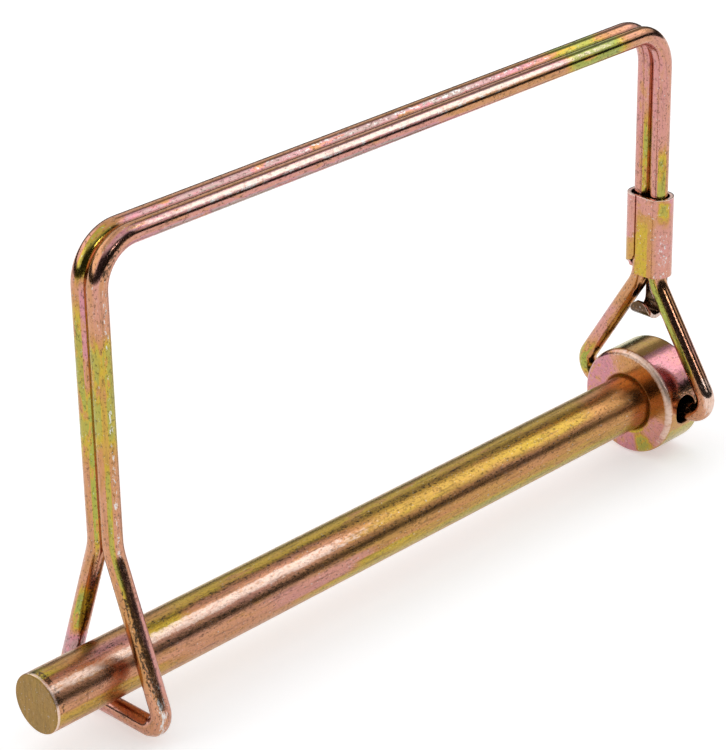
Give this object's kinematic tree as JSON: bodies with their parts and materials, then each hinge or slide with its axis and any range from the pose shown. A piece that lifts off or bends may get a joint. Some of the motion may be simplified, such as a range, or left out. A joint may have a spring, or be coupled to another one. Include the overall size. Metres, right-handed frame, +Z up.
{
  "type": "hitch pin lock",
  "caption": "Round hitch pin with a pressed collar head and a square bail of doubled spring wire that snaps over the pin's tip.",
  "frame": {"origin": "on the pin's axis at the shoulder, where the shank leaves the head's front face", "axes": "+X from the shoulder into the head, so the pin's tip is at -X; +Z up, from the pin to the top of the closed bail; +Y completes the right-handed frame"},
  "size_m": [0.0949, 0.0196, 0.0524],
  "materials": {
    "pin_plating": "yellow-passivated zinc plate, drawn bar, gold to copper",
    "collar_plating": "yellow-passivated zinc plate, turned, gold with pink and green iridescence",
    "wire_plating": "yellow-passivated zinc plate on spring wire, olive gold with pink iridescence",
    "clip_plating": "yellow-passivated zinc plate on folded sheet"
  },
  "bodies": {
    "pin": {"pin_shank": "pin_plating", "head_collar": "collar_plating"},
    "bail": {"bail_strand_left": "wire_plating", "bail_strand_right": "wire_plating"},
    "loop": {"tip_loop": "wire_plating"},
    "clip": {"strand_clip": "clip_plating"}
  },
  "joints": [
    {"name": "bail_swing", "type": "hinge", "parent": "pin", "child": "bail", "pos_m": [0.00341, 0, -0.00023], "axis": [0, 1, 0], "range_deg": [0, 240]},
    {"name": "loop_spring", "type": "hinge", "parent": "bail", "child": "loop", "pos_m": [-0.082, 0, 0.04035], "axis": [0, 1, 0], "range_deg": [0, 16], "stiffness_Nm_per_rad": 3.3},
    {"name": "clip_slide", "type": "slide", "parent": "bail", "child": "clip", "axis": [0, 0, 1], "range_m": [0, 0.0014]}
  ]
}
